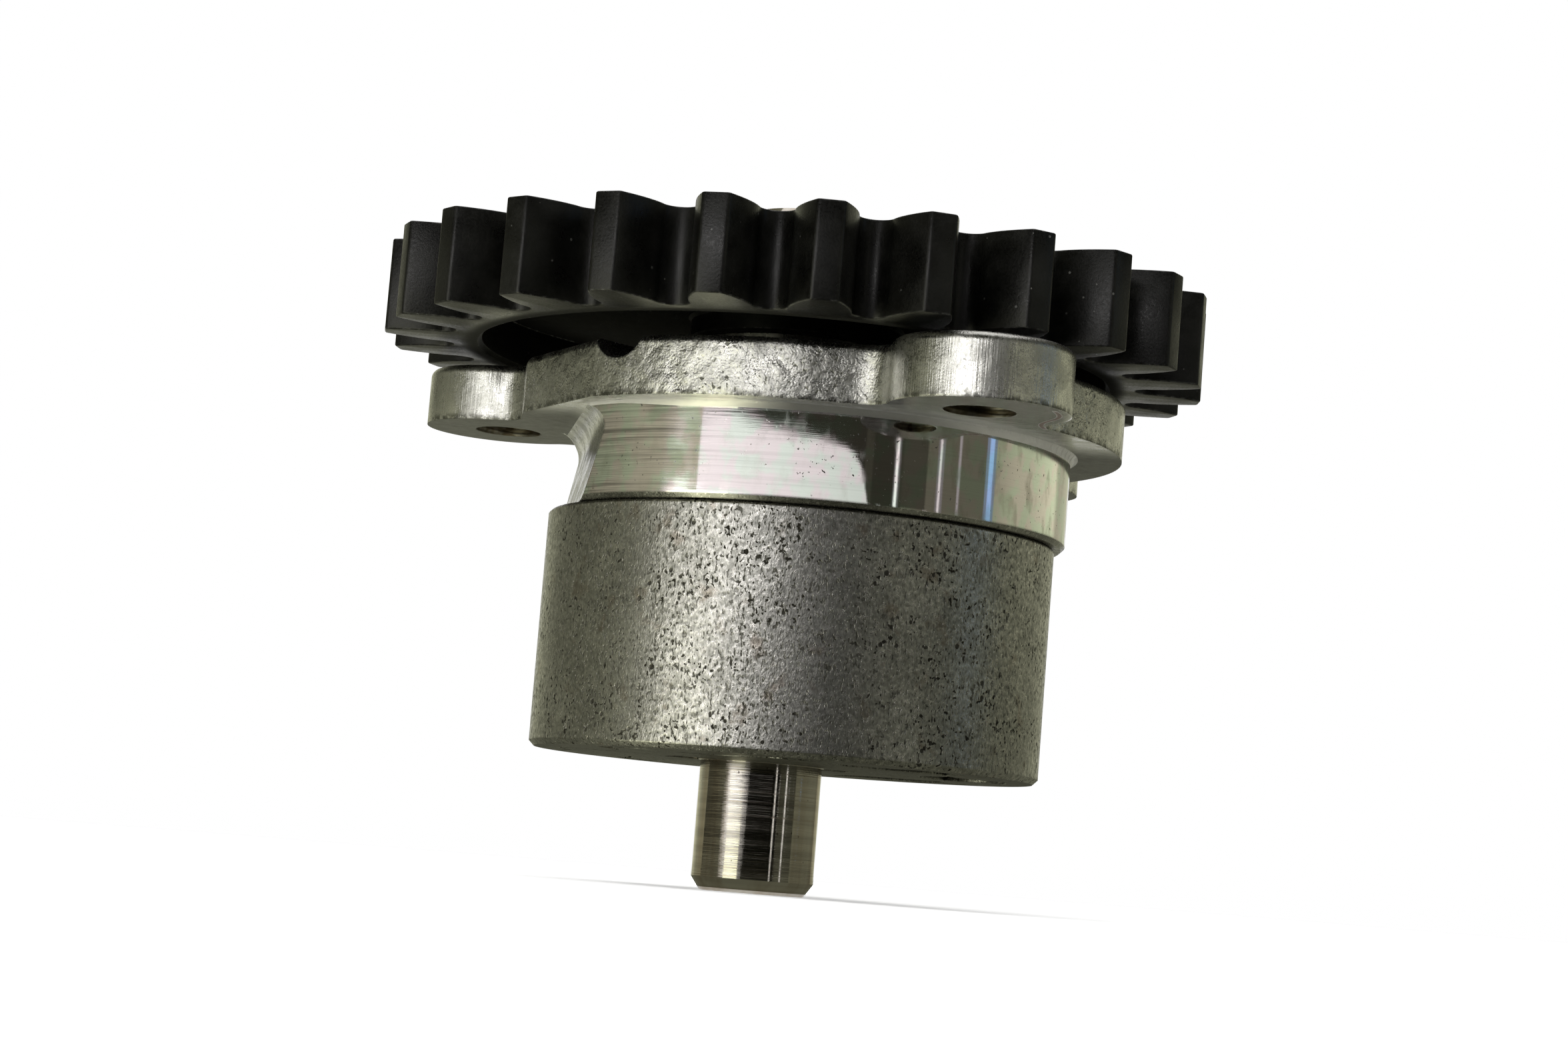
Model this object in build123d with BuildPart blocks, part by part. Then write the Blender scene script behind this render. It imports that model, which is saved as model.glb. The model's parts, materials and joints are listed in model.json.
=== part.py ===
# Gear-driven engine oil pump: cast body with pilot spigot and bolt ears, spur drive gear on
# a through shaft, and a trochoid rotor pair that works in a bore of the engine block.
#
# Frame, millimetres: +Z is the pump axis towards the drive gear. The origin is on the pilot
# spigot's axis, at the flange face that seats on the block. The shaft runs beside that axis,
# displaced by the rotors' eccentricity towards -X.

import os
from math import acos, cos, pi, radians, sin, sqrt, tan

from build123d import *

os.makedirs("parts", exist_ok=True)

# ---------------------------------------------------------------- driving dimensions

# body casting
pilot_diameter = 52.0
pilot_length = 9.1
pilot_chamfer = 0.4
pilot_root_fillet = 0.3
flange_thickness = 5.6
flange_rim = 2.5  # flange wall outside the pilot
lobe_rim = 5.0  # the same between the front and the rear ear
rim_flat_angle = -153.0  # shallow flat on the flange wall
rim_flat_depth = 1.2
ear_hole_diameter = 6.65  # minor diameter of an M8 thread
ear_wall = 5.0
ear_blend = 3.0  # concave radius between an ear and the flange
cast_edge = 0.8
# each bolt ear: polar angle of its hole, and the hole's centre outside the pilot
front_ear_angle, front_ear_reach = -63.4, 7.3
rear_ear_angle, rear_ear_reach = 51.8, 8.1
side_ear_angle, side_ear_reach = 161.6, 6.3
front_pad_height = 0.4  # the front ear stands above the flange
boss_wall = 4.5  # around the bushes, on the gear side
boss_height = 2.4
notch_angle = -130.5
notch_radius = 3.2
notch_depth = 2.1
notch_length = 9.0
scoop_angle = -172.0  # cast relief in the side of the pilot
scoop_depth = 3.1  # at the pilot's end face
scoop_draft = 12.0
scoop_fillet = 2.4
port_width = 4.6
port_depth = 3.0
port_half_span = 58.0

# shaft and bushes
shaft_diameter = 12.0
shaft_tail = 12.65  # journal below the rotors
shaft_head = 6.4  # above the gear
tail_chamfer_length = 1.3
tail_chamfer_width = 0.9
head_chamfer = 0.7
rotor_seat_step = 0.2  # the rotor's seat stands proud of the journals
bush_wall = 1.5
bush_space = 4.5  # between the two bushes
bush_recess = 0.3
running_clearance = 0.03

# drive gear
gear_teeth = 25
gear_module = 3.0
gear_width = 9.0
gear_gap = 1.0  # between the front ear's pad and the gear
tooth_thickness = 5.0  # on the pitch circle
tooth_depth_below_pitch = 3.6
pressure_angle = 20.0
gear_phase = -101.3  # polar angle of one tooth
gear_rim = 2.9  # below the tooth roots, towards the flange
gear_outer_rim = 3.3  # the same on the outer side
gear_web = 3.0
gear_top_recess = 1.5
gear_edge = 0.4
hub_wall = 4.5
washer_thickness = 1.0
washer_wall = 4.0
end_float = 0.1

# key and retaining ring
key_width = 4.0
key_height = 4.0
key_end_wall = 0.75  # between the key's ends and the hub's faces
key_seat = 2.5  # depth in the shaft
key_clearance = 0.1
ring_thickness = 1.0
ring_groove_depth = 0.25
ring_groove_width = 1.1
ring_section = 1.8
ring_lug_radius = 1.7
ring_lug_hole = 0.8
ring_gap = 30.0  # degrees between the lugs' outer sides
ring_turn = 140.0

# rotors
outer_rotor_diameter = 50.0
rotor_length = 23.0
rotor_rim = 3.0  # wall behind the deepest pocket
eccentricity = 2.1
inner_lobes = 7
lobe_arc_radius = 6.0
mesh_clearance = 0.06
pocket_clearance = 0.2
pocket_fillet = 0.6
side_clearance = 0.05
outer_phase = -24.0  # polar angle of one lobe of the outer rotor
rotor_bore_clearance = 0.02
outer_edge_chamfer = 0.5
inner_edge_chamfer = 0.25
pin_diameter = 4.0
pin_length = 18.8
pin_clearance = 0.1
pin_turn = 19.0

# ---------------------------------------------------------------- sizes that follow

pilot_radius = pilot_diameter / 2
flange_radius = pilot_radius + flange_rim
lobe_radius = pilot_radius + lobe_rim
ear_hole_radius = ear_hole_diameter / 2
ear_radius = ear_hole_radius + ear_wall
front_pad_top = flange_thickness + front_pad_height
# each ear: polar angle and radius of its hole, and height of its upper face
front_ear = (front_ear_angle, pilot_radius + front_ear_reach, front_pad_top)
rear_ear = (rear_ear_angle, pilot_radius + rear_ear_reach, flange_thickness)
side_ear = (side_ear_angle, pilot_radius + side_ear_reach, flange_thickness)
ears = (front_ear, rear_ear, side_ear)

shaft_radius = shaft_diameter / 2
rotor_seat_radius = shaft_radius + rotor_seat_step
shaft_x = -eccentricity
bush_bore_radius = shaft_radius + running_clearance
bush_seat_radius = bush_bore_radius + bush_wall
boss_radius = bush_seat_radius + boss_wall
boss_top = flange_thickness + boss_height
bush_length = (boss_top + pilot_length - bush_space) / 2 - bush_recess

gear_bottom = front_pad_top + gear_gap
gear_top = gear_bottom + gear_width
pitch_radius = gear_module * gear_teeth / 2
gear_tip_radius = pitch_radius + gear_module
gear_root_radius = pitch_radius - tooth_depth_below_pitch
recess_radius = gear_root_radius - gear_rim
outer_recess_radius = gear_root_radius - gear_outer_rim
hub_radius = shaft_radius + hub_wall
washer_top = boss_top + washer_thickness
hub_bottom = washer_top + end_float
web_top = gear_top - gear_top_recess
web_bottom = web_top - gear_web
key_length = gear_top - hub_bottom - 2 * key_end_wall

rotor_top = -pilot_length - side_clearance
rotor_bottom = rotor_top - rotor_length
outer_lobes = inner_lobes + 1
outer_rotor_radius = outer_rotor_diameter / 2
pocket_radius = outer_rotor_radius - rotor_rim
outer_tip_radius = pocket_radius - pocket_clearance - 2 * eccentricity
lobe_centre_radius = outer_tip_radius + lobe_arc_radius
inner_phase = outer_phase * outer_lobes / inner_lobes
port_radius = (outer_tip_radius + pocket_radius) / 2

shaft_bottom = rotor_bottom - shaft_tail
shaft_top = gear_top + shaft_head
slot_width = pin_diameter + pin_clearance
slot_depth = pin_diameter + 2 * pin_clearance
slot_length = pin_length + 2 * pin_clearance
pin_height = rotor_bottom + slot_depth - pin_clearance - pin_diameter / 2


# ---------------------------------------------------------------- helpers


def polar(radius, angle):
    """Point at a radius and an angle in radians."""
    return (radius * cos(angle), radius * sin(angle))


def shaft_plane(height):
    """Horizontal plane at a height, centred on the shaft axis."""
    return Plane((shaft_x, 0, height))


def radial_plane(angle, radius, height):
    """Plane across a radius: its normal points outwards, and its y runs along the pump axis."""
    return Plane((*polar(radius, radians(angle)), height), x_dir=(*polar(1, radians(angle + 90)), 0),
                 z_dir=(*polar(1, radians(angle)), 0))


def axial_plane(angle):
    """Plane through the pilot's axis: x runs outwards at the angle, and y along the pump axis."""
    return Plane((0, 0, 0), x_dir=(*polar(1, radians(angle)), 0), z_dir=(*polar(1, radians(angle - 90)), 0))


def write(piece, label):
    """Label a finished piece and write its STEP file."""
    piece.label = label
    export_step(piece, f"parts/{label}.step")


def round_edges(part, radius):
    """Circular edges of a part with a given radius, grouped from the lowest up."""
    rounds = part.edges().filter_by(GeomType.CIRCLE)
    return rounds.filter_by(lambda edge: abs(edge.radius - radius) < 1e-6).group_by(Axis.Z)


# ---------------------------------------------------------------- pump body


def is_ear_corner(edge):
    """Whether an upright edge of the flange is a corner from which an ear's rim starts."""
    corner = edge.center()
    for ear_angle, ear_circle, _ in ears:
        x, y = polar(ear_circle, radians(ear_angle))
        on_rim = abs(sqrt((corner.X - x) ** 2 + (corner.Y - y) ** 2) - ear_radius) < 1e-4
        if on_rim and sqrt(corner.X ** 2 + corner.Y ** 2) < ear_circle:
            return True
    return False


with BuildPart() as front_pad:
    with BuildSketch(Plane((*polar(front_ear[1], radians(front_ear_angle)), 0))):
        Circle(ear_radius)
    extrude(amount=front_pad_top)
    fillet(front_pad.edges().group_by(Axis.Z)[-1], cast_edge)

with BuildPart() as pump_body:
    # flange with a flat on its wall, a wider lobe and three bolt ears
    with BuildSketch(Plane.XY):
        Circle(flange_radius)
        with PolarLocations(flange_radius - rim_flat_depth + flange_rim, 1, start_angle=rim_flat_angle):
            Rectangle(2 * flange_rim, 2 * flange_radius, mode=Mode.SUBTRACT)
        with BuildLine():
            lobe_edge = CenterArc((0, 0), lobe_radius, front_ear_angle, rear_ear_angle - front_ear_angle)
            Line((0, 0), lobe_edge @ 0)
            Line(lobe_edge @ 1, (0, 0))
        make_face()
        for ear_angle, ear_circle, _ in ears:
            with PolarLocations(ear_circle, 1, start_angle=ear_angle):
                Circle(ear_radius)
    extrude(amount=flange_thickness)
    fillet(pump_body.edges().filter_by(Axis.Z).filter_by(is_ear_corner), ear_blend)
    fillet(pump_body.faces().sort_by(Axis.Z)[-1].outer_wire().edges(), cast_edge)
    add(front_pad.part)

    # pilot spigot, turned, with a cast relief in its side
    with BuildSketch(Plane.XY):
        Circle(pilot_radius)
    extrude(amount=-pilot_length)
    chamfer(round_edges(pump_body, pilot_radius)[0], pilot_chamfer)
    fillet(round_edges(pump_body, pilot_radius)[-1], pilot_root_fillet)
    with BuildSketch(axial_plane(scoop_angle)) as scoop:
        with BuildLine():
            scoop_end = pilot_radius - scoop_depth
            scoop_root = scoop_end - pilot_length * tan(radians(scoop_draft))
            Polyline((scoop_end, -pilot_length), (scoop_root, 0), (flange_radius, 0),
                     (flange_radius, -pilot_length), close=True)
        make_face()
        fillet(scoop.vertices().sort_by(Axis.X)[0], scoop_fillet)
    extrude(amount=pilot_radius, both=True, mode=Mode.SUBTRACT)

    # bearing boss on the gear side
    with BuildSketch(shaft_plane(flange_thickness)):
        Circle(boss_radius)
    extrude(amount=boss_height)

    # shaft bore and tapped ear holes
    with BuildSketch(shaft_plane(boss_top)):
        Circle(bush_seat_radius)
    extrude(amount=-(boss_top + pilot_length), mode=Mode.SUBTRACT)
    for ear_angle, ear_circle, ear_top in ears:
        with BuildSketch(Plane.XY.offset(ear_top)):
            with PolarLocations(ear_circle, 1, start_angle=ear_angle):
                Circle(ear_hole_radius)
        extrude(amount=-ear_top, mode=Mode.SUBTRACT)

    # drain notch in the flange's gear side
    with BuildSketch(radial_plane(notch_angle, flange_radius - notch_length,
                                  flange_thickness + notch_radius - notch_depth)):
        Circle(notch_radius)
    extrude(amount=notch_length + ear_radius, mode=Mode.SUBTRACT)

    # suction and pressure pockets facing the rotors
    with BuildSketch(Plane.XY.offset(-pilot_length)):
        for port_angle in (90, -90):
            SlotArc(CenterArc((0, 0), port_radius, port_angle - port_half_span, 2 * port_half_span),
                    port_width)
    extrude(amount=port_depth, mode=Mode.SUBTRACT)
write(pump_body.part, "pump_body")


# ---------------------------------------------------------------- bushes and thrust washer


def bush(bottom):
    """Plain bush pressed into the body, from its lower end upwards."""
    with BuildPart() as bush_part:
        with BuildSketch(shaft_plane(bottom)):
            Circle(bush_seat_radius)
            Circle(bush_bore_radius, mode=Mode.SUBTRACT)
        extrude(amount=bush_length)
    return bush_part.part


write(bush(boss_top - bush_recess - bush_length), "gear_end_bush")
write(bush(-pilot_length + bush_recess), "rotor_end_bush")

with BuildPart() as thrust_washer:
    with BuildSketch(shaft_plane(boss_top)):
        Circle(shaft_radius + washer_wall)
        Circle(shaft_radius + 2 * running_clearance, mode=Mode.SUBTRACT)
    extrude(amount=washer_thickness)
write(thrust_washer.part, "thrust_washer")

# ---------------------------------------------------------------- drive shaft

key_middle = (hub_bottom + gear_top) / 2
pin_plane = Plane((shaft_x, 0, pin_height), x_dir=(0, 0, 1),
                  z_dir=(cos(radians(pin_turn)), sin(radians(pin_turn)), 0))

with BuildPart() as drive_shaft:
    with BuildSketch(shaft_plane(shaft_bottom)):
        Circle(shaft_radius)
    extrude(amount=shaft_top - shaft_bottom)
    chamfer(drive_shaft.edges().group_by(Axis.Z)[0], tail_chamfer_length, tail_chamfer_width)
    chamfer(drive_shaft.edges().group_by(Axis.Z)[-1], head_chamfer)
    # seat of the inner rotor
    with BuildSketch(shaft_plane(rotor_bottom)):
        Circle(rotor_seat_radius)
    extrude(amount=rotor_length)
    # groove for the retaining ring
    with BuildSketch(shaft_plane(gear_top)):
        Circle(shaft_radius)
        Circle(shaft_radius - ring_groove_depth, mode=Mode.SUBTRACT)
    extrude(amount=ring_groove_width, mode=Mode.SUBTRACT)
    # key seat
    with BuildSketch(shaft_plane(key_middle - key_length / 2)):
        with Locations((shaft_radius, 0)):
            Rectangle(2 * key_seat, key_width)
    extrude(amount=key_length, mode=Mode.SUBTRACT)
    # cross hole for the rotor's drive pin
    with BuildSketch(pin_plane):
        Circle(pin_diameter / 2)
    extrude(amount=rotor_seat_radius, both=True, mode=Mode.SUBTRACT)
write(drive_shaft.part, "drive_shaft")

with BuildPart() as rotor_drive_pin:
    with BuildSketch(pin_plane):
        Circle(pin_diameter / 2)
    extrude(amount=pin_length / 2, both=True)
write(rotor_drive_pin.part, "rotor_drive_pin")

with BuildPart() as gear_key:
    with BuildSketch(shaft_plane(key_middle - key_length / 2)):
        with Locations((shaft_radius - key_seat + key_height / 2, 0)):
            Rectangle(key_height, key_width)
    extrude(amount=key_length)
write(gear_key.part, "gear_key")

# ---------------------------------------------------------------- retaining ring

ring_inner_radius = shaft_radius - ring_groove_depth
ring_lug_circle = ring_inner_radius + ring_lug_radius
ring_lug_angles = (ring_turn - ring_gap / 2, ring_turn + ring_gap / 2)

with BuildPart() as gear_retaining_ring:
    with BuildSketch(shaft_plane(gear_top)):
        Circle(ring_inner_radius + ring_section)
        with BuildLine():
            gap_reach = 2 * ring_lug_circle
            Polyline((0, 0), polar(gap_reach, radians(ring_lug_angles[0])),
                     polar(gap_reach, radians(ring_lug_angles[1])), close=True)
        make_face(mode=Mode.SUBTRACT)
        for lug_angle in ring_lug_angles:
            with PolarLocations(ring_lug_circle, 1, start_angle=lug_angle):
                Circle(ring_lug_radius)
                Circle(ring_lug_hole, mode=Mode.SUBTRACT)
        Circle(ring_inner_radius, mode=Mode.SUBTRACT)
    extrude(amount=ring_thickness)
write(gear_retaining_ring.part, "gear_retaining_ring")

# ---------------------------------------------------------------- drive gear

base_radius = pitch_radius * cos(radians(pressure_angle))
space_half_pitch = pi / gear_teeth
involute_at_pitch = tan(radians(pressure_angle)) - radians(pressure_angle)


def space_half_angle(radius):
    """Half the angle of a tooth space at a radius, for an involute flank."""
    roll = acos(base_radius / radius)
    tooth_half = tooth_thickness / (2 * pitch_radius) + involute_at_pitch - (tan(roll) - roll)
    return space_half_pitch - tooth_half


flank_radii = (base_radius, (base_radius + gear_tip_radius) / 2, gear_tip_radius)
flank = [polar(radius, space_half_angle(radius)) for radius in flank_radii]
other_flank = [(x, -y) for x, y in flank]
space_mouth = polar(gear_tip_radius + gear_module, space_half_angle(gear_tip_radius))

with BuildSketch() as tooth_space:
    with BuildLine():
        ThreePointArc(*flank)
        ThreePointArc(*other_flank)
        ThreePointArc(flank[0], (gear_root_radius, 0), other_flank[0])
        Polyline(flank[2], space_mouth, (space_mouth[0], -space_mouth[1]), other_flank[2])
    make_face()

with BuildPart() as drive_gear:
    with BuildSketch(shaft_plane(gear_bottom)):
        Circle(gear_tip_radius)
        with PolarLocations(0, gear_teeth, start_angle=gear_phase + 180 / gear_teeth):
            add(tooth_space.sketch, mode=Mode.SUBTRACT)
    extrude(amount=gear_width)
    # recess towards the flange, leaving the rim and the web
    with BuildSketch(shaft_plane(gear_bottom)):
        Circle(recess_radius)
    extrude(amount=web_bottom - gear_bottom, mode=Mode.SUBTRACT)
    # shallow recess on the outer side
    with BuildSketch(shaft_plane(web_top)):
        Circle(outer_recess_radius)
    extrude(amount=gear_top_recess, mode=Mode.SUBTRACT)
    chamfer(round_edges(drive_gear, recess_radius)[0], gear_edge)
    chamfer(round_edges(drive_gear, outer_recess_radius)[-1], gear_edge)
    # hub with bore and keyway
    with BuildSketch(shaft_plane(hub_bottom)):
        Circle(hub_radius)
    extrude(amount=gear_top - hub_bottom)
    with BuildSketch(shaft_plane(hub_bottom)):
        Circle(shaft_radius + rotor_bore_clearance)
        with Locations((shaft_radius - key_seat + key_height / 2, 0)):
            Rectangle(key_height + 2 * key_clearance, key_width)
    extrude(amount=gear_top - hub_bottom, mode=Mode.SUBTRACT)
write(drive_gear.part, "drive_gear")

# ---------------------------------------------------------------- inner rotor

# The outer rotor's lobe arcs sweep this curve's offset in the inner rotor's frame.
points_per_lobe = 18
inner_offset = lobe_arc_radius + mesh_clearance


def inner_rotor_point(turn):
    """Point of the inner rotor's outline, for a turn in radians."""
    x = lobe_centre_radius * cos(turn) + eccentricity * cos(outer_lobes * turn)
    y = lobe_centre_radius * sin(turn) + eccentricity * sin(outer_lobes * turn)
    dx = -lobe_centre_radius * sin(turn) - eccentricity * outer_lobes * sin(outer_lobes * turn)
    dy = lobe_centre_radius * cos(turn) + eccentricity * outer_lobes * cos(outer_lobes * turn)
    speed = sqrt(dx * dx + dy * dy)
    return (x - inner_offset * dy / speed, y + inner_offset * dx / speed)


outline_points = inner_lobes * points_per_lobe
inner_outline = [inner_rotor_point(2 * pi * i / outline_points) for i in range(outline_points)]

with BuildPart() as inner_rotor:
    with BuildSketch(shaft_plane(rotor_bottom).rotated((0, 0, inner_phase))):
        with BuildLine():
            Spline(*inner_outline, periodic=True)
        make_face()
        Circle(rotor_seat_radius + rotor_bore_clearance, mode=Mode.SUBTRACT)
    extrude(amount=rotor_length)
    # slot across the lower face for the drive pin
    with BuildSketch(shaft_plane(rotor_bottom).rotated((0, 0, pin_turn))):
        Rectangle(slot_length, slot_width)
    extrude(amount=slot_depth, mode=Mode.SUBTRACT)
write(inner_rotor.part, "inner_rotor")

# ---------------------------------------------------------------- outer rotor

with BuildPart() as outer_rotor:
    with BuildSketch(Plane.XY.offset(rotor_bottom)) as outer_outline:
        Circle(outer_rotor_radius)
        Circle(pocket_radius, mode=Mode.SUBTRACT)
        with PolarLocations(lobe_centre_radius, outer_lobes, start_angle=outer_phase):
            Circle(lobe_arc_radius)
        Circle(outer_rotor_radius, mode=Mode.INTERSECT)
        pocket_corners = outer_outline.vertices().filter_by(
            lambda v: abs(sqrt(v.X ** 2 + v.Y ** 2) - pocket_radius) < 1e-4)
        fillet(pocket_corners, pocket_fillet)
    extrude(amount=rotor_length)
    chamfer(round_edges(outer_rotor, outer_rotor_radius)[0], outer_edge_chamfer)
    chamfer(round_edges(outer_rotor, outer_rotor_radius)[-1], inner_edge_chamfer)
write(outer_rotor.part, "outer_rotor")

print("shaft axis x", shaft_x, "shaft from", shaft_bottom, "to", shaft_top)
print("gear from", gear_bottom, "to", gear_top, "tip radius", gear_tip_radius)
print("rotors from", rotor_bottom, "to", rotor_top, "ratio", inner_lobes / outer_lobes)
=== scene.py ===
"""Engine oil pump: toothed gear, tapped body, metal finishes and studio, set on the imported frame."""
import functools
import json
import logging
import math
from dataclasses import dataclass
from enum import Enum

import bmesh
import bpy
import numpy as np
from mathutils import Matrix, Vector

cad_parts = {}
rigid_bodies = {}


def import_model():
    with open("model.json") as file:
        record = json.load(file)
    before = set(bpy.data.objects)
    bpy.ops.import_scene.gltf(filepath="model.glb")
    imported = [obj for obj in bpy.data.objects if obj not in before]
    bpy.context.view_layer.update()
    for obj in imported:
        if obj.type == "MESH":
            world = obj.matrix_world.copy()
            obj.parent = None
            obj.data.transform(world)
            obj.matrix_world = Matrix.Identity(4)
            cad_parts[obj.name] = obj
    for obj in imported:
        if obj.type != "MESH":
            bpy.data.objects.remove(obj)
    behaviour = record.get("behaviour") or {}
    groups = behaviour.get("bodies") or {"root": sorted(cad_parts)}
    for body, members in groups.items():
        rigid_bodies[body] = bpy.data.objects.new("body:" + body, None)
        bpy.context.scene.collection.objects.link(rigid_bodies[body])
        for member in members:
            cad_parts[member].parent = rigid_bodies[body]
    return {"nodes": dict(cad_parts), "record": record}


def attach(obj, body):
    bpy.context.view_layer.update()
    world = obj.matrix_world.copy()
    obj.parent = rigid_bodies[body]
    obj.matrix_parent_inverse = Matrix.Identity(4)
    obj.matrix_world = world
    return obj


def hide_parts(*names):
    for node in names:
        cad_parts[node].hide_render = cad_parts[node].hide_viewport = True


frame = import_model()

MM = 0.001
MOUNTS = {mount["name"]: mount for mount in frame["record"]["mounts"]}
SHAFT_X = MOUNTS["shaft_pilot"]["pos_m"][0]
EAR_HOLES = tuple(tuple(mount["pos_m"][:2]) for mount in MOUNTS.values() if mount["kind"] == "threaded_hole")
log = logging.getLogger("oil_pump")

Colour = tuple[float, float, float]
WHITE: Colour = (1.0, 1.0, 1.0)
DAY: Colour = (1.0, 0.98, 0.97)
ROOM: Colour = (1.0, 1.0, 0.72)
SKY: Colour = (0.40, 0.62, 1.0)
PALE_SKY: Colour = (0.62, 0.78, 1.0)


class Wrap(Enum):
    """How a pattern is stretched over a turned surface."""

    EVEN = (1.0, 1.0, 1.0)
    TURNED = (0.012, 0.012, 1.0)
    DRAWN = (1.0, 1.0, 0.04)
    FLECKED = (1.0, 1.0, 0.45)


@dataclass(frozen=True)
class Signal:
    """The output of a node. Arithmetic on it adds more nodes."""

    graph: "Graph"
    socket: bpy.types.NodeSocket

    def __add__(self, other: "Signal | float") -> "Signal":
        """The sum."""
        return self.graph.calc("ADD", self, other)

    def __sub__(self, other: "Signal | float") -> "Signal":
        """The difference."""
        return self.graph.calc("SUBTRACT", self, other)

    def __rsub__(self, other: float) -> "Signal":
        """A number less this value."""
        return self.graph.calc("SUBTRACT", other, self)

    def __mul__(self, other: "Signal | float") -> "Signal":
        """The product."""
        return self.graph.calc("MULTIPLY", self, other)

    def __abs__(self) -> "Signal":
        """The value without its sign."""
        return self.graph.calc("ABSOLUTE", self)

    def fade(self, low: float, high: float, start: "Signal | float" = 0.0,
             end: "Signal | float" = 1.0) -> "Signal":
        """A smooth step from start to end while this value goes from low to high, or down to it."""
        inputs = {0: self, 1: low, 2: high, 3: start, 4: end}
        return self.graph.make("ShaderNodeMapRange", inputs, interpolation_type="SMOOTHSTEP")

    def fade_mm(self, low: float, high: float, start: float = 0.0, end: float = 1.0) -> "Signal":
        """The same step for a length, with its low and high ends in mm."""
        return self.fade(low * MM, high * MM, start, end)

    def blend(self, a: "Signal | float", b: "Signal | float") -> "Signal":
        """The number a where this value is 0, b where it is 1."""
        return self.graph.make("ShaderNodeMix", {0: self, 2: a, 3: b})

    def tint(self, a: "Signal | Colour", b: "Signal | Colour") -> "Signal":
        """The colour a where this value is 0, b where it is 1."""
        return self.graph.tint(self, a, b)

    def beside(self, output: int | str) -> "Signal":
        """Another output of the same node."""
        return Signal(self.graph, self.socket.node.outputs[output])


Value = Signal | float
Paint = Signal | Colour


def opaque(colour: Paint) -> Signal | tuple[float, ...]:
    """A colour with its opacity, or a signal as it is."""
    return colour if isinstance(colour, Signal) else (*colour, 1.0)


class Graph:
    """A node tree, built from short calls that return signals."""

    def __init__(self, tree: bpy.types.NodeTree) -> None:
        """Empties the tree.

        Args:
            tree: The tree.
        """
        self.nodes = tree.nodes
        self.links = tree.links
        self.nodes.clear()

    def make(self, kind: str, inputs: dict[int | str, object], output: int | str = 0,
             **settings: object) -> Signal:
        """Adds a node.

        Args:
            kind: Its type name.
            inputs: A signal, number or colour for each input that is set.
            output: The output that is wanted.
            settings: Properties to set on it.

        Returns:
            The output.
        """
        made = self.nodes.new(kind)
        for name, value in settings.items():
            setattr(made, name, value)
        for name, value in inputs.items():
            if isinstance(value, Signal):
                self.links.new(value.socket, made.inputs[name])
            else:
                made.inputs[name].default_value = value
        return Signal(self, made.outputs[output])

    def end(self, kind: str, result: Signal) -> None:
        """Ends the tree in an output node."""
        self.links.new(result.socket, self.nodes.new(kind).inputs[0])

    def calc(self, operation: str, a: Value, b: Value = 0.0, c: Value = 0.0) -> Signal:
        """One step of arithmetic, by the Math node's name for it."""
        return self.make("ShaderNodeMath", {0: a, 1: b, 2: c}, operation=operation)

    def most(self, *values: Value) -> Signal:
        """The largest of the values."""
        return functools.reduce(lambda a, b: self.calc("MAXIMUM", a, b), values)

    def least(self, *values: Value) -> Signal:
        """The smallest of the values."""
        return functools.reduce(lambda a, b: self.calc("MINIMUM", a, b), values)

    def tint(self, amount: Value, a: Paint, b: Paint) -> Signal:
        """The colour a where the amount is 0, b where it is 1."""
        return self.make("ShaderNodeMix", {0: amount, 6: opaque(a), 7: opaque(b)}, 2, data_type="RGBA")

    def in_sight(self) -> Signal:
        """One in sight, also by a mirror or through glass, and nothing for light that falls on things."""
        seen = self.make("ShaderNodeLightPath", {}, "Is Camera Ray")
        return self.most(seen, seen.beside("Is Glossy Ray"), seen.beside("Is Transmission Ray"))

    def glow(self, colour: Colour, level: Value) -> None:
        """Ends the tree in a plain glow."""
        inputs = {"Color": opaque(colour), "Strength": level}
        self.end("ShaderNodeOutputMaterial", self.make("ShaderNodeEmission", inputs))


def graph_of(owner: bpy.types.Material | bpy.types.World) -> Graph:
    """The emptied node tree of a material or a world."""
    owner.use_nodes = True
    return Graph(owner.node_tree)


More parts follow.
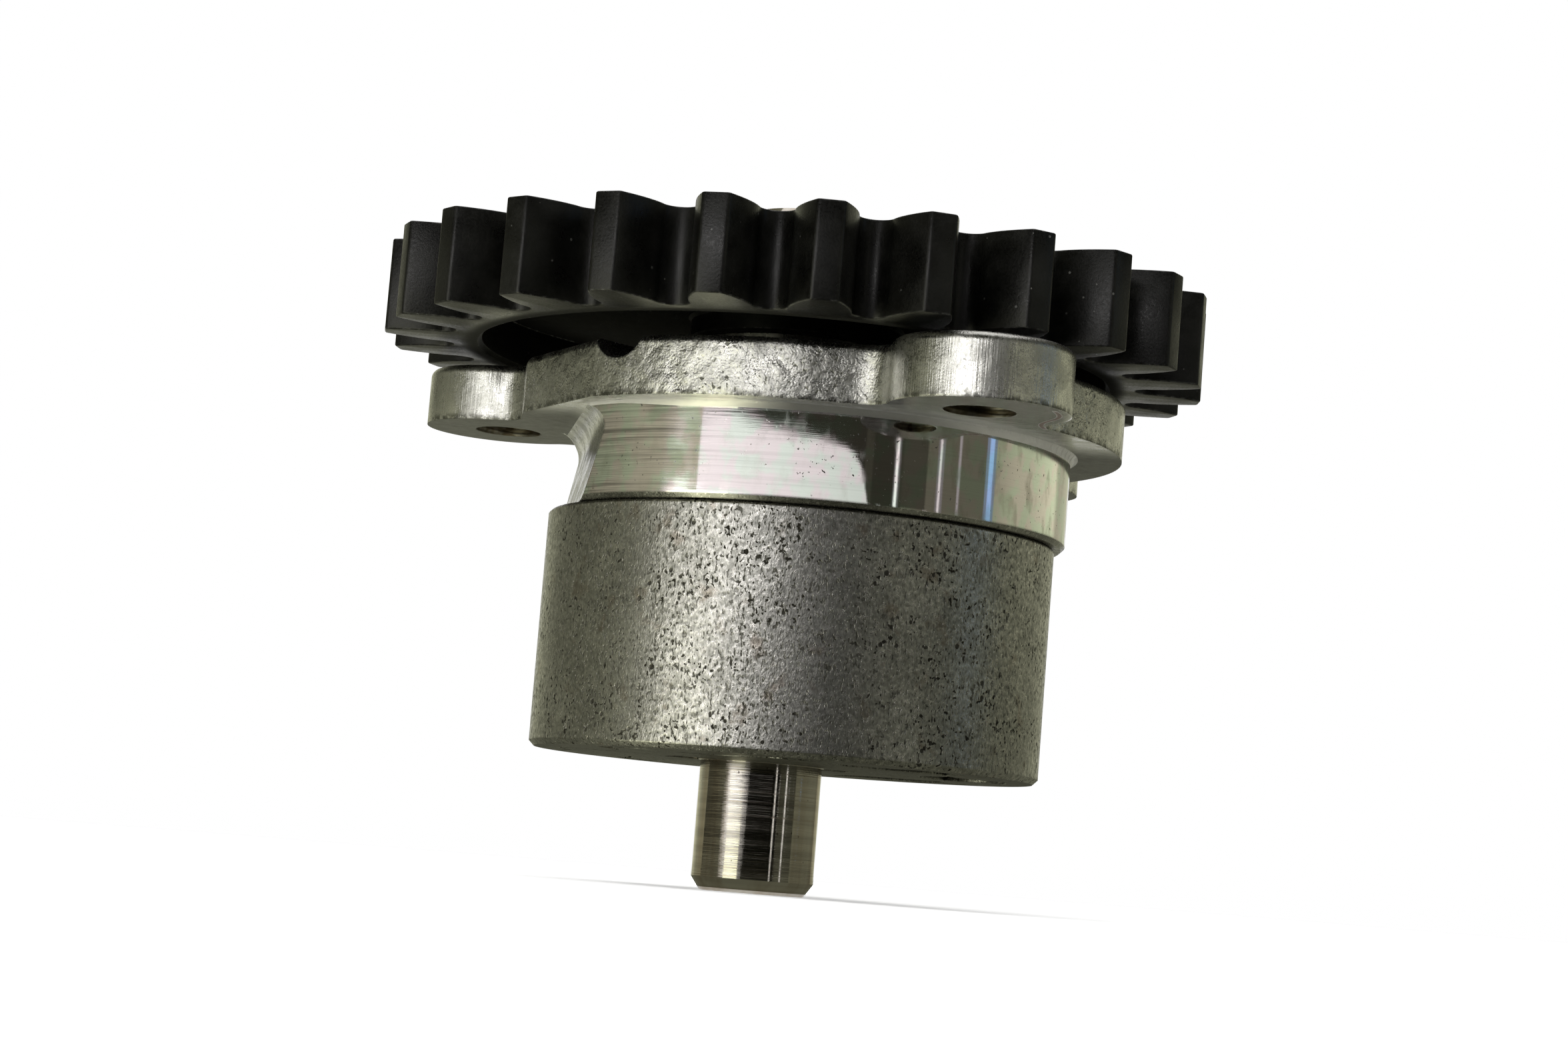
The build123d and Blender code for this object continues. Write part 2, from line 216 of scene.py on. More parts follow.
class Shading(Graph):
    """The tree of one finish, with the patterns that finishes share. Sizes of patterns are in mm."""

    def __init__(self, name: str) -> None:
        """Makes an empty material.

        Args:
            name: The material's name.
        """
        self.material = bpy.data.materials.new(name)
        self.material.use_nodes = True
        super().__init__(self.material.node_tree)
        self.place = self.make("ShaderNodeTexCoord", {}, "Object")
        self.x, self.y, self.z = self.parts(self.place)
        self.plain_normal = self.make("ShaderNodeNewGeometry", {}, "Normal")
        self.facing_up = self.parts(self.plain_normal.beside("True Normal"))[2]

    def parts(self, vector: Signal) -> list[Signal]:
        """The three numbers of a vector."""
        first = self.make("ShaderNodeSeparateXYZ", {0: vector})
        return [first.beside(i) for i in range(3)]

    def from_axis(self, x: float = 0.0, y: float = 0.0) -> Signal:
        """Distance from an upright axis.

        Args:
            x: Where the axis stands, in metres.
            y: Where the axis stands, in metres.

        Returns:
            The distance, in metres.
        """
        across = self.x - x
        along = self.y - y
        return self.calc("SQRT", self.calc("MULTIPLY_ADD", across, across, along * along))

    def wrapped(self, wrap: Wrap, shift: tuple[float, float, float]) -> Signal:
        """Object coordinates for a pattern, stretched, and moved so that two patterns differ."""
        inputs = {"Vector": self.place, "Scale": wrap.value, "Location": shift}
        return self.make("ShaderNodeMapping", inputs)

    def noise(self, size: float, detail: float = 2.0, wrap: Wrap = Wrap.EVEN, shift: float = 0.0) -> Signal:
        """Soft noise, from 0 to 1, with patches of a size in mm and octaves of finer detail."""
        return self.noise_over(self.wrapped(wrap, (shift, -shift, 0.7 * shift)), size, detail)

    def noise_over(self, place: Signal, size: float, detail: float) -> Signal:
        """Soft noise at a place of its own."""
        inputs = {"Vector": place, "Scale": 1.0 / (size * MM), "Detail": detail}
        return self.make("ShaderNodeTexNoise", inputs)

    def rings(self, size: float) -> Signal:
        """Circles of uneven depth round the shaft, as a turning tool leaves on a flat face."""
        return self.noise_over(self.make("ShaderNodeCombineXYZ", {0: self.from_axis(SHAFT_X)}), size, 3.0)

    def specks(self, size: float, share: float, shift: float = 0.0) -> Signal:
        """Round spots of uneven size, 1 in a spot and 0 outside.

        Args:
            size: Distance between neighbouring spots.
            share: Largest radius of a spot, as a share of that distance.
            shift: Moves the pattern.

        Returns:
            The spots.
        """
        place = self.wrapped(Wrap.EVEN, (shift, shift, shift))
        chance = self.make("ShaderNodeTexVoronoi", {"Vector": place, "Scale": 1.0 / (size * MM)}, "Color")
        size_of_spot = self.make("ShaderNodeSeparateColor", {0: chance})
        reach = size_of_spot * size_of_spot * size_of_spot * share
        return self.calc("DIVIDE", chance.beside("Distance"), reach + 0.0001).fade(1.0, 0.7)

    def shade(self, colour: Paint, amount: Value) -> Signal:
        """A colour made lighter or darker by a factor."""
        return self.make("ShaderNodeVectorMath", {0: colour, "Scale": amount}, operation="SCALE")

    def soft_edge(self, radius: float) -> Signal:
        """The normal over edges rounded to a radius."""
        return self.make("ShaderNodeBevel", {"Radius": radius * MM}, samples=4)

    def edge(self, radius: float) -> Signal:
        """Nothing on open faces, rising to 1 at an edge that is within the radius."""
        inputs = {0: self.soft_edge(radius), 1: self.plain_normal}
        return self.make("ShaderNodeVectorMath", inputs, "Value", operation="DOT_PRODUCT").fade(0.995, 0.80)

    def bump(self, height: Value, depth: float, normal: Signal, strength: Value = 1.0) -> Signal:
        """A normal tilted by a height pattern of some depth, with the strength as a share of the tilt."""
        inputs = {"Height": height, "Strength": strength, "Distance": depth * MM, "Normal": normal}
        return self.make("ShaderNodeBump", inputs)

    def grain_direction(self) -> Signal:
        """The direction across the turning marks, along which they spread light.

        Returns:
            A tangent in world space.
        """
        around = self.make("ShaderNodeCombineXYZ", {0: self.y * -1.0, 1: self.x})
        world = self.make("ShaderNodeVectorTransform", {0: around}, vector_type="VECTOR",
                          convert_from="OBJECT", convert_to="WORLD")
        return self.make("ShaderNodeVectorMath", {0: world, 1: self.plain_normal}, operation="CROSS_PRODUCT")

    def metal(self, colour: Paint, roughness: Value, normal: Signal, metallic: Value = 1.0,
              turned: float = 0.0, specular: float = 0.5) -> bpy.types.Material:
        """Ends the tree in one surface shader.

        Args:
            colour: Base colour.
            roughness: Roughness.
            normal: The bumped normal.
            metallic: Share of bare metal.
            turned: Strength of the streaked gloss of turning marks.
            specular: Specular level.

        Returns:
            The finished material.
        """
        inputs = {"Base Color": opaque(colour), "Roughness": roughness, "Metallic": metallic,
                  "Specular IOR Level": specular, "Normal": normal}
        if turned:
            inputs |= {"Anisotropic": turned, "Tangent": self.grain_direction()}
        self.end("ShaderNodeOutputMaterial", self.make("ShaderNodeBsdfPrincipled", inputs))
        return self.material


class BodyShading(Shading):
    """The body's shading, its surfaces (each 1 there and 0 elsewhere) and their patterns. Sizes are in mm."""

    pilot_edge: float = 25.75
    pilot_top: float = -0.12
    seat_reach: float = 0.6
    hole_edge: float = 4.1
    ear_edge: float = 8.5
    ear_fade: float = 1.3
    root_start: float = 25.90
    root_edge: float = 27.0
    root_bottom: float = -0.75
    stain_x: float = 21.5
    stain_y: float = -30.2
    stain_middle: float = -27.6
    stain_half: float = 5.0
    stain_end: float = 6.4
    stain_line: float = 0.12
    stain_blur: float = 0.34
    stain_swing: float = 0.56
    stain_wave: float = 10.8

    def __init__(self) -> None:
        """Starts the material."""
        super().__init__("body_casting_finish")
        flatness = abs(self.facing_up)
        radius = self.from_axis()
        pilot = radius.fade_mm(self.pilot_edge, self.pilot_edge + 0.1)
        pilot = pilot * self.z.fade_mm(self.pilot_top, self.pilot_top - 0.18)
        self.pilot = pilot * flatness.fade(0.55, 0.35)
        self.seat = self.facing_up.fade(-0.90, -0.97) * self.z.fade_mm(-self.seat_reach, -self.seat_reach / 2)
        to_hole = self.least(*(self.from_axis(x, y) for x, y in EAR_HOLES))
        self.hole = to_hole.fade_mm(self.hole_edge + 0.05, self.hole_edge) * flatness.fade(0.98, 0.94)
        self.ear = to_hole.fade_mm(self.ear_edge + self.ear_fade, self.ear_edge) * self.z.fade_mm(-0.1, 0.1)
        root = radius.fade_mm(self.root_edge + 0.1, self.root_edge)
        root = root * self.z.fade_mm(self.root_bottom, self.root_bottom + 0.08)
        root = root * self.facing_up.fade(-0.06, -0.16) * self.facing_up.fade(-0.985, -0.96)
        self.root = root * radius.fade_mm(self.root_start, self.root_start + 0.08)
        bend = self.calc("COSINE", (self.y - self.stain_y * MM) * (math.tau / (self.stain_wave * MM)))
        middle = self.calc("MULTIPLY_ADD", bend, self.stain_swing * MM, self.stain_x * MM)
        stain = abs(self.x - middle).fade_mm(self.stain_blur, self.stain_line) * self.seat
        self.stain = stain * abs(self.y - self.stain_middle * MM).fade_mm(self.stain_end, self.stain_half)

        self.grain = self.noise(0.20, 3.0)
        self.blotch = self.noise(1.3, 3.0, shift=0.8)
        self.patches = self.noise(3.6, 3.0, shift=0.3)
        self.lumps = self.noise(2.6, shift=0.55)
        soot = self.noise(0.42, shift=0.6).fade(0.61, 0.67)
        self.pits = soot * self.blotch.fade(0.40, 0.56) * self.ear.blend(1.0, 0.35)
        self.lines = self.noise(0.07, 2.0, Wrap.TURNED)
        self.coarse_lines = self.noise(0.30, 3.0, Wrap.TURNED, shift=0.1)
        worn_left = self.x.fade_mm(-13, -8, 0.80, 0.0) + self.x.fade_mm(-8, 6, 0.20, 0.06)
        self.lined = self.noise(7, shift=0.4).fade(0.35, 0.60, 0.45, 1.0) * worn_left


@dataclass(frozen=True)
class BodyFinish:
    """Cast pump body with a turned pilot, milled seat and tapped ears."""

    cast: Colour = (0.58, 0.58, 0.545)
    # Near-white colour of the painted glints on the cast skin.
    cast_painted_glint: Colour = (0.88, 0.87, 0.84)
    turned: Colour = (0.70, 0.70, 0.68)
    rosy_film: Colour = (0.74, 0.62, 0.65)
    green_film: Colour = (0.60, 0.72, 0.62)
    smudged: Colour = (0.36, 0.34, 0.28)
    rubbed: Colour = (0.24, 0.23, 0.19)
    fleck: Colour = (0.10, 0.10, 0.085)
    burnt_oil: Colour = (0.10, 0.06, 0.035)
    thread: Colour = (0.30, 0.28, 0.24)
    dark_thread: Colour = (0.17, 0.14, 0.105)
    # Light colour of the painted highlight along the fillet under the seat.
    painted_root_highlight: Colour = (0.80, 0.79, 0.70)

    def cast_look(self, s: BodyShading) -> tuple[Signal, Signal]:
        """The open casting.

        Args:
            s: The body's shading.

        Returns:
            The colour and the roughness.
        """
        # Bright flecks tinted into the cast skin's colour: painted glints of its grain, fewer on the ears.
        painted_glints = s.noise(0.30, shift=0.75).fade(0.58, 0.68)
        grime = s.z.fade_mm(0.75, 0.15) * s.z.fade_mm(-0.05, 0.05)
        grime = grime * s.noise(0.8, 3.0, shift=0.2).fade(0.44, 0.56)
        mottle = s.grain.fade(0.3, 0.7, -0.20, 0.16) * s.ear.blend(1.0, 0.4)
        colour = s.shade(self.cast, s.patches.fade(0.3, 0.7, 0.80, 1.06) + mottle)
        # The casting below the flange, the pilot's relief and end face, is darkened to 0.6: painted shade.
        colour = s.shade(colour, s.z.fade_mm(-0.6, -0.1, 0.60, 1.0))
        colour = (painted_glints * s.ear.blend(0.5, 0.12)).tint(colour, self.cast_painted_glint)
        colour = s.most(s.pits * 0.8, grime * 0.8).tint(colour, self.fleck)
        roughness = s.lumps.fade(0.35, 0.62, 0.20, 0.31) + s.grain.fade(0.3, 0.7, -0.04, 0.08)
        return colour, roughness + s.pits * 0.2

    def turned_look(self, s: BodyShading) -> tuple[Signal, Signal]:
        """The turned pilot, with its oil film, smudges and rubbed patch.

        Args:
            s: The body's shading.

        Returns:
            The colour and the roughness.
        """
        film = s.noise(2.2, 3.0, shift=0.5)
        specks = s.noise(0.30, 1.0, shift=0.9).fade(0.70, 0.76) * s.patches.fade(0.42, 0.55)
        smudge = s.noise(1.6, 4.0, Wrap.FLECKED, shift=0.35).fade(0.50, 0.66) * s.x.fade_mm(2, 9, 0.35, 1.0)
        rubbed = s.noise(1.1, 4.0, Wrap.FLECKED, shift=0.95).fade(0.50, 0.62)
        rubbed = rubbed * s.x.fade_mm(-17, -23) * s.z.fade_mm(-7, -2, 1.0, 0.2)
        rainbow = film.fade(0.42, 0.58).tint(self.rosy_film, self.green_film)
        colour = s.tint(0.5, self.turned, rainbow)
        colour = s.shade(colour, s.coarse_lines.fade(0.36, 0.50, s.lined.blend(0.98, 0.52), 1.0))
        colour = s.shade(colour, s.lines.fade(0.40, 0.60, s.lined.blend(1.0, 0.78), s.lined.blend(1.0, 1.08)))
        colour = (smudge * 0.35).tint(colour, self.smudged)
        colour = (specks * 0.85).tint(colour, self.fleck)
        colour = (rubbed * 0.6).tint(colour, self.rubbed)
        roughness = s.lined.blend(0.012, 0.095) + (specks * 0.3 + smudge * 0.06)
        return colour, roughness + s.x.fade_mm(18.4, 21.0, 0.0, 0.13)

    def milled_look(self, s: BodyShading) -> tuple[Signal, Signal]:
        """The colour and the roughness of the milled seat."""
        # The seat's colour falls to 0.22 towards the back, under the flange behind the pilot: painted shade.
        colour = s.shade(self.cast, s.blotch.fade(0.3, 0.7, 1.15, 1.50) * s.y.fade_mm(-16, -4, 1.0, 0.22))
        return colour, s.grain.fade(0.3, 0.7, 0.11, 0.17) + s.y.fade_mm(-16, -4, 0.0, 0.40)

    def relief(self, s: BodyShading) -> Signal:
        """The sand-cast skin, the turning lines and the drawn sides of the ears.

        Args:
            s: The body's shading.

        Returns:
            The normal.
        """
        open_cast = 1.0 - s.most(s.pilot, s.seat * 0.7, s.hole)
        rolling = open_cast * s.ear.blend(1.0, 0.22) * s.z.fade_mm(-0.4, 0.0, 0.04, 1.0)
        normal = s.bump(s.grain - s.pits * 0.5, 0.045, s.soft_edge(0.30), rolling)
        normal = s.bump(s.lumps, 0.24, normal, rolling)
        normal = s.bump(s.blotch * 0.5 + s.patches, 0.16, normal, rolling)
        normal = s.bump(s.lines + s.coarse_lines, 0.0012, normal, s.pilot * s.lined)
        normal = s.bump(s.noise(2.4, 1.0, shift=0.25), 0.0010, normal, s.pilot)
        return s.bump(s.noise(0.16, 2.0, Wrap.DRAWN, shift=0.65), 0.03, normal, s.ear * open_cast)

    def build(self) -> bpy.types.Material:
        """Makes the material.

        Returns:
            The material.
        """
        s = BodyShading()
        cast, rough_cast = self.cast_look(s)
        turned, rough_turned = self.turned_look(s)
        milled, rough_milled = self.milled_look(s)
        # The fillet under the seat is tinted light, brightest on the left, dimmest in the middle and lighter
        # again on the right: a painted highlight.
        painted_highlight_level = s.x.fade_mm(-9, -1, 1.0, 0.26) + s.x.fade_mm(8, 20, 0.0, 0.40)
        colour = (s.seat * 0.85).tint(s.pilot.tint(cast, turned), milled)
        colour = (s.stain * 0.9).tint(colour, self.burnt_oil)
        colour = s.hole.tint(colour, s.blotch.fade(0.4, 0.6).tint(self.thread, self.dark_thread))
        colour = s.root.tint(colour, s.shade(self.painted_root_highlight, painted_highlight_level))
        roughness = s.seat.blend(s.pilot.blend(rough_cast, rough_turned), rough_milled)
        roughness = s.root.blend(s.hole.blend(roughness, 0.42), 0.35)
        roughness = (s.stain * 0.9).blend(roughness, 0.9)
        metallic = s.root.blend(s.seat.blend(1.0, 0.85), 0.45)
        return s.metal(colour, roughness, self.relief(s), s.stain.blend(metallic, 0.0))


@dataclass(frozen=True)
class GearFinish:
    """Blackened gear steel with bright nicks along its edges."""

    colour: Colour = (0.0022, 0.0022, 0.0017)
    dusty: Colour = (0.0056, 0.0056, 0.0045)
    bare: Colour = (0.30, 0.30, 0.27)
    sheltered_edge: float = 31.6
    web_face: float = 9.0

    def build(self) -> bpy.types.Material:
        """Makes the material.

        Returns:
            The material.
        """
        s = Shading("blackened_gear_steel")
        grain = s.noise(0.22, 3.0)
        cloud = s.noise(2.6, 3.0, shift=0.2)
        worn = s.edge(0.22) * s.noise(0.7, 3.0, shift=0.4).fade(0.47, 0.62)
        nick = s.specks(1.3, 0.13, shift=0.3)
        sheltered = s.from_axis(SHAFT_X).fade_mm(self.sheltered_edge + 1.8, self.sheltered_edge)
        sheltered = sheltered * s.facing_up.fade(-0.5, -0.9)
        colour = cloud.fade(0.35, 0.7).tint(self.colour, self.dusty)
        colour = s.shade(colour, grain.fade(0.3, 0.7, 0.75, 1.25))
        colour = s.most(worn * 0.55, nick * 0.22).tint(colour, self.bare)
        roughness = cloud.fade(0.3, 0.7, 0.30, 0.38) + grain.fade(0.3, 0.7, -0.04, 0.06)
        faced = abs(s.facing_up).fade(0.90, 0.97) * s.z.fade_mm(self.web_face, self.web_face + 0.05)
        circles = s.rings(0.35)
        colour = s.shade(colour, faced.blend(1.0, circles.fade(0.3, 0.7, 1.1, 2.3)))
        roughness = roughness + faced * circles.fade(0.3, 0.7, 0.05, -0.06)
        roughness = sheltered.blend(roughness, 0.85)
        normal = s.bump(grain, 0.03, s.soft_edge(0.15), 0.5)
        normal = s.bump(circles, 0.02, normal, faced)
        return s.metal(colour, roughness, normal, worn * 0.6, specular=0.34)


@dataclass(frozen=True)
class SinteredFinish:
    """Pressed and sintered rotor steel, mottled grey with open pores."""

    name: str
    colour: Colour = (0.30, 0.30, 0.28)
    pale: Colour = (0.44, 0.435, 0.41)
    # Near-white colour of the painted glints in the sintered grain.
    bright: Colour = (0.80, 0.78, 0.75)
    pore: Colour = (0.035, 0.032, 0.026)
    stain: Colour = (0.17, 0.12, 0.08)

    def build(self) -> bpy.types.Material:
        """Makes the material.

        Returns:
            The material.
        """
        s = Shading(self.name)
        mottle = s.noise(0.50, 4.0)
        cloud = s.noise(5.5, 3.0, shift=0.3)
        grain = s.noise(0.15, 2.0, Wrap.FLECKED, shift=0.6)
        gather = s.noise(3.6, shift=0.15).fade(0.40, 0.60, 0.15, 1.0)
        fine_pores = s.noise(0.26, 2.0, Wrap.FLECKED, shift=0.45).fade(0.60, 0.66)
        large_pores = s.noise(0.46, 1.0, shift=0.1).fade(0.635, 0.67) * gather
        large_pores = s.most(large_pores, s.specks(0.9, 0.34, shift=0.2) * gather * 0.9)
        pores = s.most(fine_pores * gather.blend(0.4, 0.75), large_pores)
        # Near-white flecks tinted into the colour are painted glints of the sintered grain.
        bright = s.noise(0.30, shift=0.7).fade(0.63, 0.69)
        stain = s.noise(2.6, 3.0, shift=0.9).fade(0.60, 0.72)
        ends = s.facing_up.fade(-0.90, -0.97)
        colour = mottle.fade(0.36, 0.62).tint(self.colour, self.pale)
        colour = s.shade(colour, cloud.fade(0.3, 0.7, 0.84, 1.06))
        colour = s.shade(colour, grain.fade(0.3, 0.7, 0.74, 1.20))
        colour = (bright * 0.45).tint(colour, self.bright)
        colour = (stain * 0.40).tint(colour, self.stain)
        colour = (pores * 0.92).tint(colour, self.pore)
        # Faces that face down are darkened to half: painted shade.
        colour = s.shade(colour, ends.blend(1.0, 0.50))
        roughness = mottle.fade(0.3, 0.7, 0.36, 0.26) + pores * 0.35
        roughness = ends.blend(roughness, grain.fade(0.3, 0.7, 0.50, 0.62))
        normal = s.bump(mottle * 0.5 - pores, 0.06, s.soft_edge(0.20), 0.8)
        normal = s.bump(grain, 0.025, normal, 0.8)
        return s.metal(colour, roughness, normal)


@dataclass(frozen=True)
class ShaftFinish:
    """Ground shaft steel with fine rings and drawn streaks."""

    colour: Colour = (0.58, 0.555, 0.50)
    oiled: Colour = (0.40, 0.34, 0.27)
    speck: Colour = (0.08, 0.06, 0.05)
    end_face: Colour = (0.44, 0.42, 0.38)

    def build(self) -> bpy.types.Material:
        """Makes the material.

        Returns:
            The material.
        """
        s = Shading("ground_shaft_steel")
        rings = s.noise(0.09, 3.0, Wrap.TURNED)
        bands = s.noise(0.8, 3.0, Wrap.TURNED, shift=0.3)
        cloud = s.noise(2.5, 3.0, Wrap.DRAWN, shift=0.5)
        scuffs = s.noise(0.25, 2.0, Wrap.TURNED, shift=0.8).fade(0.58, 0.66)
        colour = cloud.fade(0.35, 0.7).tint(self.colour, self.oiled)
        colour = s.shade(colour, bands.fade(0.3, 0.7, 0.80, 1.08))
        colour = (scuffs * 0.5).tint(colour, self.oiled)
        colour = (s.specks(0.7, 0.2) * 0.6).tint(colour, self.speck)
        ends = abs(s.facing_up).fade(0.90, 0.97)
        circles = s.rings(0.22)
        colour = ends.tint(colour, s.shade(self.end_face, circles.fade(0.3, 0.7, 0.75, 1.1)))
        roughness = ends.blend(bands.fade(0.3, 0.7, 0.045, 0.085) + scuffs * 0.06, 0.24)
        normal = s.bump(rings, 0.0036, s.soft_edge(0.12), ends.blend(0.8, 0.0))
        normal = s.bump(circles, 0.015, normal, ends)
        return s.metal(colour, roughness, normal)


@dataclass(frozen=True)
class PlainFinish:
    """A small steel or bronze piece, a little brighter along its edges."""

    name: str
    colour: Colour
    roughness: float
    metallic: float = 1.0
    turned: float = 0.0

    def build(self) -> bpy.types.Material:
        """Makes the material.

        Returns:
            The material.
        """
        s = Shading(self.name)
        cloud = s.noise(1.6, 3.0, shift=0.2)
        grain = s.noise(0.25, 2.0, Wrap.TURNED if self.turned else Wrap.EVEN)
        colour = s.shade(self.colour, cloud.fade(0.3, 0.7, 0.72, 1.0) + grain.fade(0.3, 0.7, -0.08, 0.08))
        rubbed = tuple(min(1.0, 1.5 * part) for part in self.colour)
        colour = (s.edge(0.10) * cloud.fade(0.4, 0.6) * 0.5).tint(colour, rubbed)
        roughness = cloud.fade(0.3, 0.7, -0.05, 0.07) + self.roughness
        normal = s.bump(grain, 0.02, s.soft_edge(0.08), 0.6)
        return s.metal(colour, roughness, normal, self.metallic, self.turned)


@dataclass(frozen=True)
class TappedBody:
    """The pump body with a thread cut into each bolt ear. Lengths are in metres, angles in degrees."""

    pitch: float = 1.25 * MM
    drilled: float = MOUNTS["front_ear_hole"]["dims"]["r_mm"] * MM
    depth: float = 0.62 * MM
    mouth: float = 0.5 * MM
    rows_per_turn: int = 11
    flank_gain: float = 1.25
    crest_share: float = 0.12
    on_wall: float = 0.02 * MM
    sharp_edge: float = 36.0
    pilot_radius: float = MOUNTS["pilot_spigot"]["dims"]["r_mm"] * MM
    tool_radius: float = 0.3 * MM
    hair: float = 0.005 * MM
    root_growth: float = 2.3
    relief_middle: float = -172.0
    relief_half: float = 39.0
    relief_fade: float = 14.0

    def groove(self, height: float, turn: float, low: float, high: float) -> float:
        """How far the thread is cut into the wall.

        Args:
            height: Height of the point.
            turn: Its direction from the hole's axis, in radians.
            low: Where the hole starts.
            high: Where it ends.

        Returns:
            The depth.
        """
        step = (height / self.pitch - turn / math.tau) % 1.0
        ramp = min(1.0, (height - low) / self.mouth, (high - height) / self.mouth)
        flank = self.flank_gain * (1.0 - abs(2.0 * step - 1.0)) - self.crest_share
        return self.depth * max(0.0, ramp) * max(0.0, min(1.0, flank))

    def tap(self, body: bmesh.types.BMesh, x: float, y: float) -> None:
        """Cuts the thread into one drilled ear.

        Args:
            body: The body, with its doubles merged.
            x: Where the hole's axis stands.
            y: Where the hole's axis stands.
        """
        def off_wall(vert: bmesh.types.BMVert) -> float:
            """Distance of a point from the drilled wall."""
            return abs(math.hypot(vert.co.x - x, vert.co.y - y) - self.drilled)

        def turn_of(vert: bmesh.types.BMVert) -> float:
            """Direction of a point from the hole's axis, in radians."""
            return math.atan2(vert.co.y - y, vert.co.x - x)

        wall = [face for face in body.faces if all(off_wall(vert) < self.on_wall for vert in face.verts)]
        verts = {vert for face in wall for vert in face.verts}
        low = min(vert.co.z for vert in verts)
        high = max(vert.co.z for vert in verts)
        middle = (low + high) / 2
        bottom = sorted((vert for vert in verts if vert.co.z <= middle), key=turn_of)
        top = sorted((vert for vert in verts if vert.co.z > middle), key=turn_of)
        bmesh.ops.delete(body, geom=wall, context="FACES")
        rows = round((high - low) / self.pitch * self.rows_per_turn)
        grid = [bottom]
        for row in range(1, rows):
            height = low + (high - low) * row / rows
            line = []
            for turn in map(turn_of, bottom):
                radius = self.drilled + self.groove(height, turn, low, high)
                place = (x + radius * math.cos(turn), y + radius * math.sin(turn), height)
                line.append(body.verts.new(place))
            grid.append(line)
        grid.append(top)
        for below, above in zip(grid, grid[1:]):
            for i, vert in enumerate(below):
                j = (i + 1) % len(below)
                body.faces.new((vert, below[j], above[j], above[i]))
        log.info("bolt ear at %.1f, %.1f mm: %d thread rows", x / MM, y / MM, rows)

    def ease_root(self, body: bmesh.types.BMesh) -> None:
        """Opens the tool radius under the seat, down to nothing at the cast relief.

        Args:
            body: The body, with its doubles merged.
        """
        reach = self.tool_radius + self.hair
        for vert in body.verts:
            radius = math.hypot(vert.co.x, vert.co.y)
            turn = math.degrees(math.atan2(vert.co.y, vert.co.x))
            out = radius - self.pilot_radius
            if -self.hair <= out <= reach and -reach <= vert.co.z <= self.hair:
                away = abs((turn - self.relief_middle + 180.0) % 360.0 - 180.0) - self.relief_half
                growth = 1.0 + (self.root_growth - 1.0) * min(1.0, max(0.0, away / self.relief_fade))
                stretch = (self.pilot_radius + out * growth) / radius
                vert.co = (vert.co.x * stretch, vert.co.y * stretch, vert.co.z * growth)

    def build(self, finish: bpy.types.Material) -> None:
        """Makes the body and puts it in place of its plain solid.

        Args:
            finish: The body's material.
        """
        plain = frame["nodes"]["pump_body"].data.copy()
        leaning = [value for corner in plain.corner_normals for value in corner.vector]
        plain.attributes.new("leaning", "FLOAT_VECTOR", "CORNER").data.foreach_set("vector", leaning)
        plain.attributes.remove(plain.attributes["custom_normal"])
        body = bmesh.new()
        body.from_mesh(plain)
        bmesh.ops.remove_doubles(body, verts=body.verts, dist=0.0001 * MM)
        for x, y in EAR_HOLES:
            self.tap(body, x, y)
        self.ease_root(body)
        mesh = smooth_mesh("tapped_pump_body", body, self.sharp_edge)
        mesh.normals_split_custom_set([tuple(corner.vector) for corner in mesh.attributes["leaning"].data])
        mesh.attributes.remove(mesh.attributes["leaning"])
        mesh.materials.clear()
        mesh.materials.append(finish)
        made = show("tapped_pump_body", mesh)
        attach(made, "housing")
        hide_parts("pump_body")
        log.info("tapped_pump_body: %d faces", len(mesh.polygons))


